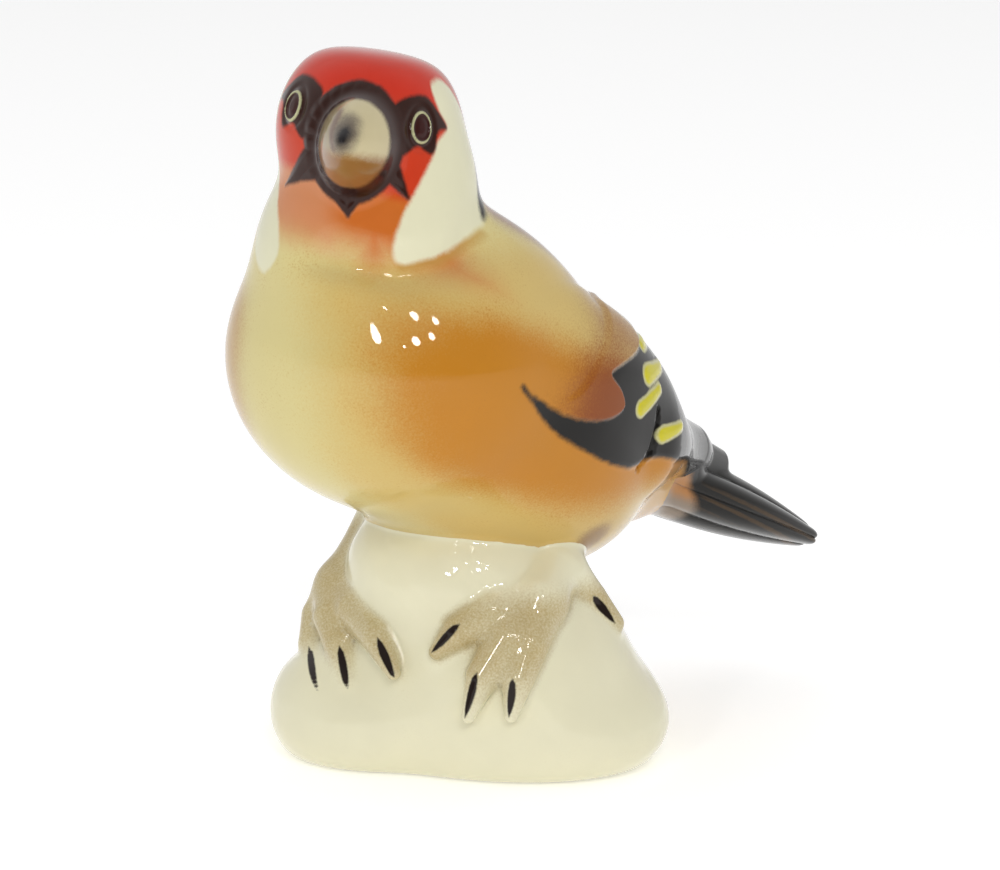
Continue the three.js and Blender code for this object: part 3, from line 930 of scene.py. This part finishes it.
def sprayed(p, aims):
    """Cover from several puffs of the airbrush: 1 less the product of what each puff leaves bare."""
    bare = 1.0
    for aim, spread, strength in aims:
        away = np.linalg.norm(p - BODY - aim, axis=-1)
        bare = bare * (1 - strength * (1 - ease(0.25 * spread, 1.45 * spread, away)))
    return 1 - bare


CRACK = [(18.2, 5.3, -10.2), (17.0, 6.2, -13.0), (15.8, 7.2, -16.0)]  # from the body's middle


def luting_crack(p):
    """Depth inside the hairline where the wing's slip shrank away from the rump in the fire."""
    width = (0.16, 0.12, 0.04)
    return stroke(p, *[(*(BODY + point), half) for point, half in zip(CRACK, width)])


def body_masks(p):
    """How much of each sprayed colour lies on the body, from 0 to 1: products of ramps and puffs."""
    across, rear, up = (p[..., i] - BODY[i] for i in range(3))
    ochre, gold = breast_ochre(across, rear, up)
    # partly the bird's own buff patch on its right breast, partly painted shade where the breast turns
    # away at its edge
    fringe = ease(6, 14, -across) * ease(-14, -4, up) * (1 - ease(5, 14, up))
    saddle = 1 - ease(0.7, 1.15, np.hypot((across - 1.5) / 11, (rear - 2) / 15))
    vent = ease(12, 17, rear) * (1 - ease(-13, -9, up))
    thigh = [((14.8, 2.4, -18.6), 2.6, 1.0), ((12.6, -1.0, -19.6), 1.6, 0.8)]
    return {
        "gold": gold,
        "ochre": ochre,
        "fringe": fringe,
        "underbelly": 1 - ease(-19, -9, up),
        "saddle": saddle * ease(-2, 4, up),
        "vent": vent,
        "thigh": sprayed(p, thigh),
        "crack": luting_crack(p),
    }


def bird_masks(p):
    """Every mask of the bird at once, so that a colour may cross from one cast piece to the next."""
    return {**face_masks(p), **wing_masks(p), **body_masks(p)}


print(f"the bird carries {len(bird_masks(BODY + np.eye(3)))} painted and sprayed areas in all")

# %% [markdown]
# ## Paint under glaze
# One node recipe makes every painted surface. It lays the colours over the fired ivory clay in the
# painter's order. A brushed layer turns its depth into cover over a narrow band, and a slow noise
# makes the edge wander as a hand does. A sprayed layer is cover already, broken up by a fine grain.
# The clear coat lies over it all as the shader's own coat, with a faint ripple where glaze has pooled.

# %% The recipe for painted glaze
def linear(code):
    """A colour written as six hex digits, in the linear light that the shader works in: each share is
    divided by 12.92 where it is dark, or else raised to the power 2.4."""
    share = np.array([int(code[i:i + 2], 16) / 255 for i in (0, 2, 4)])
    light = np.where(share <= 0.04045, share / 12.92, ((share + 0.055) / 1.055) ** 2.4)
    return (*light.tolist(), 1.0)


def add_node(tree, kind, **settings):
    """A new node with its settings."""
    node = tree.nodes.new(kind)
    for name, value in settings.items():
        setattr(node, name, value)
    return node


def noise(tree, scale, detail, where):
    """A noise from 0 to 1, whose grains are about 1 / scale of a metre."""
    node = add_node(tree, "ShaderNodeTexNoise")
    node.inputs["Scale"].default_value = scale
    node.inputs["Detail"].default_value = detail
    tree.links.new(where, node.inputs["Vector"])
    return node.outputs["Fac"]


def worked(tree, operation, *values):
    """One sum or product as a Math node; each value is a number or another node's output."""
    node = add_node(tree, "ShaderNodeMath", operation=operation)
    for socket, value in zip(node.inputs, values):
        if isinstance(value, (int, float)):
            socket.default_value = value
        else:
            tree.links.new(value, socket)
    return node.outputs[0]


ivory = "d6ca92"
print(f"the ivory clay {ivory} is", np.round(linear(ivory)[:3], 3), "in linear light")

# %% [markdown]
# ## Brush, airbrush and clear coat
# Three noises do the work of the hand. A slow one makes a brushed edge wander, a fine one is the grain
# of the spray, and a cloudy one shifts the tone. The clear coat is set on the shader's own sockets.

# %% The glaze material
HAND_SCALE, GRAIN_SCALE, CLOUD_SCALE, RIPPLE_SCALE = 900, 5000, 160, 260
SPRAY_GRAIN, SPRAY_CLOUD = 0.50, 0.32
TONE_LEAST, TONE_MOST = 0.95, 1.05
RIPPLE_DEPTH = 0.0004
BASE = {"Roughness": 0.3, "Specular IOR Level": 0.05, "Coat Weight": 0.9, "Coat IOR": 1.42,
        "Coat Roughness": 0.03}


def laid_over(tree, colour, layer, hand, grain, cloud):
    """One layer over the colour so far: a blend by the layer's cover, an S-shaped ramp of its mask.
    The noises shift the mask first."""
    mask, paint, softness, cover = layer
    depth = add_node(tree, "ShaderNodeAttribute", attribute_name=mask).outputs["Fac"]
    ramp = add_node(tree, "ShaderNodeMapRange", interpolation_type="SMOOTHSTEP")
    if softness:
        moved = worked(tree, "MULTIPLY_ADD", hand, min(0.45, softness * 0.6), depth)
        moved = worked(tree, "MULTIPLY_ADD", grain, min(0.5, softness * 0.25), moved)
        ramp.inputs["From Min"].default_value = -softness / 2
        ramp.inputs["From Max"].default_value = softness / 2
    else:
        moved = worked(tree, "MULTIPLY_ADD", grain, SPRAY_GRAIN, depth)
        moved = worked(tree, "MULTIPLY_ADD", cloud, SPRAY_CLOUD, moved)
        ramp.inputs["From Min"].default_value = 0.04
        ramp.inputs["From Max"].default_value = 0.96
    ramp.inputs["To Max"].default_value = cover
    tree.links.new(moved, ramp.inputs["Value"])
    mix = add_node(tree, "ShaderNodeMix", data_type="RGBA")
    mix.inputs["B"].default_value = linear(paint)
    if isinstance(colour, tuple):
        mix.inputs["A"].default_value = colour
    else:
        tree.links.new(colour, mix.inputs["A"])
    tree.links.new(ramp.outputs["Result"], mix.inputs["Factor"])
    return mix.outputs["Result"]


def painted_glaze(name, clay, layers, ripple=0.05):
    """Clay colour, then layers of (mask, colour, softness, cover): softness in millimetres for a
    brushed layer, and 0 for a sprayed one, whose mask is its cover already."""
    material = bpy.data.materials.new(name)
    material.use_nodes = True
    tree = material.node_tree
    surface = tree.nodes["Principled BSDF"]
    where = add_node(tree, "ShaderNodeTexCoord").outputs["Object"]
    hand = worked(tree, "SUBTRACT", noise(tree, HAND_SCALE, 3, where), 0.5)
    grain = worked(tree, "SUBTRACT", noise(tree, GRAIN_SCALE, 2, where), 0.5)
    cloud = noise(tree, CLOUD_SCALE, 3, where)
    drift = worked(tree, "SUBTRACT", cloud, 0.5)
    colour = linear(clay)
    for layer in layers:
        colour = laid_over(tree, colour, layer, hand, grain, drift)
    tone = add_node(tree, "ShaderNodeMapRange")
    tone.inputs["To Min"].default_value = TONE_LEAST
    tone.inputs["To Max"].default_value = TONE_MOST
    tree.links.new(cloud, tone.inputs["Value"])
    shade = add_node(tree, "ShaderNodeHueSaturation")
    tree.links.new(tone.outputs["Result"], shade.inputs["Value"])
    tree.links.new(colour, shade.inputs["Color"])
    tree.links.new(shade.outputs["Color"], surface.inputs["Base Color"])
    bump = add_node(tree, "ShaderNodeBump")
    bump.inputs["Strength"].default_value = ripple
    bump.inputs["Distance"].default_value = RIPPLE_DEPTH
    tree.links.new(noise(tree, RIPPLE_SCALE, 2, where), bump.inputs["Height"])
    tree.links.new(bump.outputs["Normal"], surface.inputs["Normal"])
    tree.links.new(bump.outputs["Normal"], surface.inputs["Coat Normal"])
    for socket, value in BASE.items():
        surface.inputs[socket].default_value = value
    return material


print("the clear coat:", BASE)

# %% [markdown]
# ## The bird's colours, in the painter's order
# Pale sprays come first and the dark brushwork last, because a dark layer hides the edge of what is
# under it. Each line names a mask, its colour, its softness in millimetres and its greatest cover.

# %% The bird's layers
BIRD_LAYERS = [
    ("underbelly", "cdb980", 0, 0.8),
    # the right breast patch, partly its own buff and partly painted shade along the edge
    ("fringe", "b28342", 0, 0.75),
    ("vent", "b98550", 0, 0.9),
    ("gold", "cba44e", 0, 0.55),
    ("ochre", "c08327", 0, 1.0),
    ("saddle", "8a5a34", 0, 1.0),
    ("thigh", "8c6a45", 0, 0.8),
    ("crack", "5f3415", 0.2, 0.8),
    ("throat", "c8702c", 5.0, 1.0),
    ("throat_left", "cf8f66", 5.0, 0.85),
    ("chestnut", "8d4a17", 0, 1.0),
    ("red", "c8401f", 1.6, 1.0),
    ("crown", "c92810", 3.0, 0.7),
    # painted shade in the furrow under the cheek
    ("crease", "bf9850", 1.0, 0.7),
    ("cheek", "e0ddc0", 0.7, 1.0),
    ("cap", "14100e", 0.8, 1.0),
    ("coverts", "14110e", 0.7, 1.0),
    ("petal_edge", "cfcb9a", 0.3, 0.9),
    ("petal", "cdc420", 0.35, 1.0),
    ("dark", "35180f", 0.55, 1.0),
    ("eye", "3a120e", 0.2, 1.0),
    ("lid", "c8c79c", 0.14, 0.9),
]
print(f"{len(BIRD_LAYERS)} layers of paint on the bird")

# %% [markdown]
# ## Tan toes and dark claws
# The toes are sprayed tan, and the tan thins out over the rock. A claw is one loaded brush stroke,
# pointed at both ends. Its path is drawn in the air between two points and then dropped on to the
# surface along the field's slope, so that it follows the toe's round back.

# %% Feet, claws and rock
CLAWS = {  # from each foot's middle: where a claw starts, and where it ends
    "left": [((-2.3, -7.7, 1.9), (-5.1, -9.2, -1.3)), ((0.2, -8.3, -2.6), (-0.6, -9.5, -7.3)),
             ((3.5, -6.8, -3.1), (3.3, -7.3, -7.1)), ((4.4, 5.9, 3.0), (5.9, 7.8, -0.1))],
    "right": [((-4.8, -5.8, -5.9), (-0.2, -10.2, -9.3)), ((0.1, -7.2, -4.7), (3.2, -9.5, -8.9)),
              ((5.7, -8.2, -2.7), (8.9, -9.5, -6.4)), ((-7.5, 7.5, -2.2), (-9.1, 9.5, -5.6))],
}
CLAW_WIDTH = 0.42


def standing_form(p):
    """Rock and feet run together, where the claws are painted."""
    return joined({name: FORMS[name](p) for name in ("rock", "left_foot", "right_foot")})


def onto_surface(field, p):
    """Moves points against the field's slope by its distance, six times, which lands them on it."""
    for _ in range(6):
        p = p - slopes(field, p) * field(p)[:, None]
    return p


def claw_masks(p):
    """Depth inside the claws: strokes over the skin, whose half-width follows a sine from point to
    point."""
    depth = np.full(p.shape[:-1], -3.0)
    for side, middle in (("left", LEFT_FOOT), ("right", RIGHT_FOOT)):
        for start, end in CLAWS[side]:
            share = np.linspace(0, 1, 7)[:, None]
            path = (1 - share) * (middle + start) + share * (middle + end)
            path = onto_surface(standing_form, path)
            width = CLAW_WIDTH * np.sin(np.pi * share[:, 0] ** 0.8) ** 0.8 + 0.02
            touches = [(*point, half) for point, half in zip(path, width)]
            depth = np.maximum(depth, stroke(p, *touches))
    return depth


def standing_masks(p):
    """Tan is sprayed along the legs and toes and thins out over the rock."""
    toes = np.minimum(foot_form(p, "left"), foot_form(p, "right"))
    high = ease(ROCK[2] - 6, ROCK[2] + 2, p[..., 2])
    left_side = ease(-2, 2, p[..., 0] - ROCK[0])
    legs = 1 - ease(-2, 2, p[..., 2] - ROCK[2] - 12.0 + 4.5 * left_side)
    return {
        "skin": (1 - ease(-1.0, 1.3, toes)) * (0.3 + 0.7 * high) * legs,
        "claw": claw_masks(p),
    }


print(f"{sum(map(len, CLAWS.values()))} claws, each {2 * CLAW_WIDTH:.2f} mm wide")

# %% [markdown]
# ## The painted tail
# The tail turns from peach at its root to black. Brown streaks between the quills let the clay show
# through on its side, and its underside is grey.

# %% Painted areas of the tail
def tail_masks(p):
    """Depths along and across the tail: black starts at 9.5 mm along it, and the streaks follow a
    cosine of the height above its axis."""
    side, along, above = in_tail(p)
    black = along - 9.5 - 1.2 * np.clip(-above, -1, 2.5)
    streak = np.cos(2 * np.pi * (above + 0.05 * along) / 1.3) - 0.55
    return {
        "vent": np.ones(len(p)),
        "tail_black": black,
        "streak": np.minimum(np.minimum(streak, 0.3 * (along - 12)), 1.2 - np.abs(above + 0.6)),
        "under": -above - 1.4,
    }


STANDING_LAYERS = [  # the feet and the rock
    ("skin", "a68a45", 0, 0.9),
    ("claw", "20120c", 0.22, 1.0),
]
TAIL_LAYERS = [
    ("vent", "b98550", 0, 1.0),
    ("under", "8d8a84", 1.5, 0.8),
    ("tail_black", "14110d", 2.2, 1.0),
    ("streak", "5d4526", 0.9, 0.55),
]
print(f"{len(STANDING_LAYERS)} layers on the feet and rock, {len(TAIL_LAYERS)} on the tail")

# %% [markdown]
# ## The painted beak
# The beak is cream, with painted shade: tan on its side turned away from the lamps, a brown stroke
# beside the tip on that side, and brown below. It has a grey halo and a dark point at its very tip.
# Seen from ahead all of it lies round one spot, so its chart is simply the view from ahead.

# %% Painted areas of the beak
def beak_masks(p):
    """Depths of ovals and a stroke on the beak seen from ahead, and how near its root a point is."""
    q = in_head(p)
    c = np.stack([q[..., 0], q[..., 2]], -1)
    return {
        # painted shade: tan over the beak's side turned away from the lamps
        "horn": oval(c, (-2.4, 0.2), (1.7, 3.6)),
        # painted shade: brown under the beak
        "lower": -c[..., 1] - 1.3,
        "halo": oval(c, (-0.1, 0.6), (1.3, 1.9)),
        # painted shadow: a brown stroke beside the tip, on the side away from the lamps
        "streak": stroke(c, (-1.5, 2.4, 0.3), (-1.6, 0.7, 0.35), (-0.9, -1.0, 0.2)),
        "tip": oval(c, (0.0, 0.45), (0.62, 0.95)),
        "root": q[..., 1] + 10.6,
    }


BEAK_LAYERS = [
    # painted shade: the first two layers darken the beak's far side and its underside, and the streak is
    # a painted shadow beside the tip
    ("horn", "8f7d58", 1.6, 0.8),
    ("lower", "93693a", 1.4, 1.0),
    ("halo", "5d5048", 1.2, 0.85),
    ("streak", "6b4a3a", 0.6, 0.8),
    ("tip", "201c1e", 0.9, 1.0),
    ("root", "35180f", 1.1, 1.0),
]
print(f"{len(BEAK_LAYERS)} layers on the beak")

# %% [markdown]
# ## Low relief
# The mould also carries detail that is too low for a lump: the ridges that ring the beak, the rims of
# the eyes, the step where the shoulder lies over the dark feathers, the yellow feather tips, and a few
# planes on the rock. Each is a height, in millimetres, over the joined forms. The same outlines serve
# the relief and the paint, so that the colour sits on its own carved shape.

# %% Heights over the forms
def face_relief(p):
    """Eyes swell by a low dome inside a raised rim, each a bell curve or a ramp of the eye's depth.
    Short ridges run out from the beak, as the sine of the angle round it."""
    c = on_head(p)
    eye = eyes(c)
    rim = 0.22 * np.exp(-((eye - 0.05) / 0.16) ** 2)
    ball = 0.10 * ease(0.25, 1.0, eye)
    socket = -0.14 * np.exp(-((eye + 0.55) / 0.4) ** 2)
    ring = beak_ring(c)
    round_beak = np.arctan2(c[..., 1] + 0.4, c[..., 0] + 0.6)
    ridge = np.abs(np.sin(11 * round_beak + 0.5 * np.sin(3 * round_beak)))
    collar = 0.20 * ease(-0.25, 0.8, ring) * (0.4 + 0.6 * ridge) * ease(0.15, 0.9, beak_form(p))
    front = ease(-2, 2, -in_head(p)[..., 1])
    return (rim + ball + socket + collar) * front


def throat_relief(p):
    """Under the chin and the cheek the head meets the breast in a furrow: a bell curve of the height
    over a line on the chart, gentle above it and short below."""
    c = on_head(p)
    line = np.interp(c[..., 0], (-1.0, 6.6, 10.3, 15.0), (-12.4, -12.4, -10.9, -8.0))
    above = c[..., 1] - line
    trough = np.exp(-((above / np.where(above > 0, 3.4, 1.5)) ** 2))
    return -1.15 * trough * ease(-8, 0, c[..., 0]) * (1 - ease(12, 17, c[..., 0]))


def wing_relief(p):
    """The shoulder stands over the dark feathers, whose lower edge stands over the flank. Each step is
    a ramp of an outline's depth, and a yellow tip swells with the root of its stroke's depth."""
    height = np.zeros(p.shape[:-1])
    for q in (p, mirrored(p)):
        c = on_wing(q)
        near = (1 - ease(0.8, 2.0, wing_form(q))) * ease(-1, 1, q[..., 0] - MIRROR)
        shoulder = 0.45 * ease(-0.25, 0.35, outline(c, SHOULDER)) * ease(-14, -7, c[..., 0])
        lower = 0.40 * ease(-0.5, 0.6, outline(c, COVERTS)) * ease(-12, -2, c[..., 0])
        petals = np.maximum.reduce([stroke(c, *petal) for petal in PETALS])
        tips = 0.22 * np.sqrt(np.clip(petals + 0.12, 0, 1))
        fold = stroke(c, (6.6, -4.6, 0.35), (7.1, -2.6, 0.45), (6.4, 0.2, 0.25), (5.9, 1.6, 0.1))
        height = height + near * (shoulder + lower + tips - 0.5 * ease(-0.35, 0.35, fold))
    return height


def rock_relief(p):
    """Faint planes, as if pared with a knife: a product of two slow sines, cut off above and below,
    and one small knob in front, a bell curve of the distance to it."""
    q = p - ROCK
    waves = np.sin(q[..., 0] / 3.1 + 0.4 * q[..., 2]) * np.sin(q[..., 1] / 3.7 - 0.2 * q[..., 2])
    knob = np.linalg.norm(q - (-2.5, -15.5, -7.6), axis=-1) / 3.6
    return (0.22 * np.clip(waves, -0.5, 0.5) + 1.4 * np.exp(-(knob**2))) * ease(0, 3, p[..., 2])


def relief(p):
    """The sum of all the low relief near a point, each part worked out only where it can matter."""
    height = np.zeros(p.shape[:-1])
    low = p[..., 2] < ROCK[2] + 14
    chart_height = on_head(p)[..., 1]
    face, throat = chart_height > -9, (chart_height > -17) & (p[..., 1] < HEAD[1] + 8)
    wing = ~low | (p[..., 1] > -20)
    if face.any():
        height[face] += face_relief(p[face])
    if throat.any():
        height[throat] += throat_relief(p[throat])
    if wing.any():
        height[wing] += wing_relief(p[wing])
    stone = (rock_form(p) < 1.0) & low
    if stone.any():
        height[stone] += rock_relief(p[stone]) * (1 - ease(0.0, 1.0, rock_form(p[stone])))
    return height


near_eye = HEAD_MIDDLE + HEAD_AXES @ (6.0, -8.0, 2.1)
print("relief beside the near eye:", relief(near_eye[None]).round(3), "mm")

# %% [markdown]
# ## Casting and painting every piece
# Each piece names its cast node, the line that its rays start from, how fine its grid is, and its
# paint. The rays of a long piece start from a line along it, or else the far end would be coarse.

# %% Cast the pieces
DETAIL = 1.0
ROCK_RIPPLE = 0.12
bird_paint = painted_glaze("painted bird glaze", ivory, BIRD_LAYERS)
rock_paint = painted_glaze("ivory rock glaze", "e5e1c6", STANDING_LAYERS, ROCK_RIPPLE)
tail_paint = painted_glaze("painted tail glaze", "c39a68", TAIL_LAYERS)
beak_paint = painted_glaze("painted beak glaze", "c9bd97", BEAK_LAYERS)


def cells(count):
    """How many cells of a grid to make: the full count times DETAIL."""
    return int(count * DETAIL)


def cast(name, piece, node, spine, around, along, masks, material, cap=0.3):
    """A skin cast from one line of starting points, then carved in low relief and painted."""
    grid = cast_skin(lambda p: piece_field(p, piece), spine, cells(around), cells(along), cap)
    grid = raised(grid, lambda p: surface_field(p, piece), relief)
    add_piece(name, node, [grid], lambda p: surface_field(p, piece) - relief(p), masks, material)


wing_line = [WING_MIDDLE + (0, -8, 4), WING_MIDDLE, WING_WRIST, WING_END]
ahead = -HEAD_AXES[:, 1]
cast("glazed_rock", "rock", "rock_base", [ROCK + (-0.2, 0.1, -3.5)], 540, 170, standing_masks,
     rock_paint)
cast("glazed_body", "body", "body_shell", [BODY + (-0.2, -11.1, 4.1)], 400, 240, bird_masks, bird_paint)
cast("glazed_head", "head", "head_shell", [HEAD_MIDDLE], 380, 250, bird_masks, bird_paint)
cast("glazed_beak", "beak", "beak", [HEAD_MIDDLE + ahead * 7, HEAD_MIDDLE + ahead * 14], 180, 140,
     beak_masks, beak_paint)
cast("left_wing_panel", "left_wing", "left_wing", wing_line, 240, 280, bird_masks, bird_paint)
cast("right_wing_panel", "right_wing", "right_wing", [mirrored(q) for q in wing_line], 240, 280,
     bird_masks, bird_paint)
cast("left_flight_feathers", "left_quill", "left_primaries", LEFT_QUILL, 90, 110, bird_masks, bird_paint)
cast("right_flight_feathers", "right_quill", "right_primaries", RIGHT_QUILL, 90, 110, bird_masks,
     bird_paint)
cast("tail_feathers", "tail", "tail", [TAIL_ROOT + TAIL_WAY * 2, TAIL_TIP - TAIL_WAY * 3], 260, 260,
     tail_masks, tail_paint, 0.2)
print(f"cast with {DETAIL:.1f} of the full detail; the feet are left")

# %% [markdown]
# ## Casting the feet
# One line of starting points can't reach into four toes at once. So the leg and each toe get a closed
# skin of their own, and all five sink into each other inside one mesh.

# %% Cast the feet
def cast_foot(side):
    """A leg and four toes, each its own closed skin cast from its own chain, in one mesh."""
    grids = []
    for points, radii in LIMBS[side].values():
        def own(p):
            """The distance to this limb alone."""
            return limb_form(p, points, radii)

        grid = cast_skin(lambda p: piece_field(p, f"{side}_foot", own), points, cells(64), cells(96), 0.2)
        grids.append(raised(grid, lambda p: surface_field(p, f"{side}_foot"), relief))
    add_piece(f"{side}_leg_and_toes", f"{side}_foot", grids,
              lambda p: surface_field(p, f"{side}_foot") - relief(p), standing_masks, rock_paint)


cast_foot("left")
cast_foot("right")
print("both feet are on the rock")
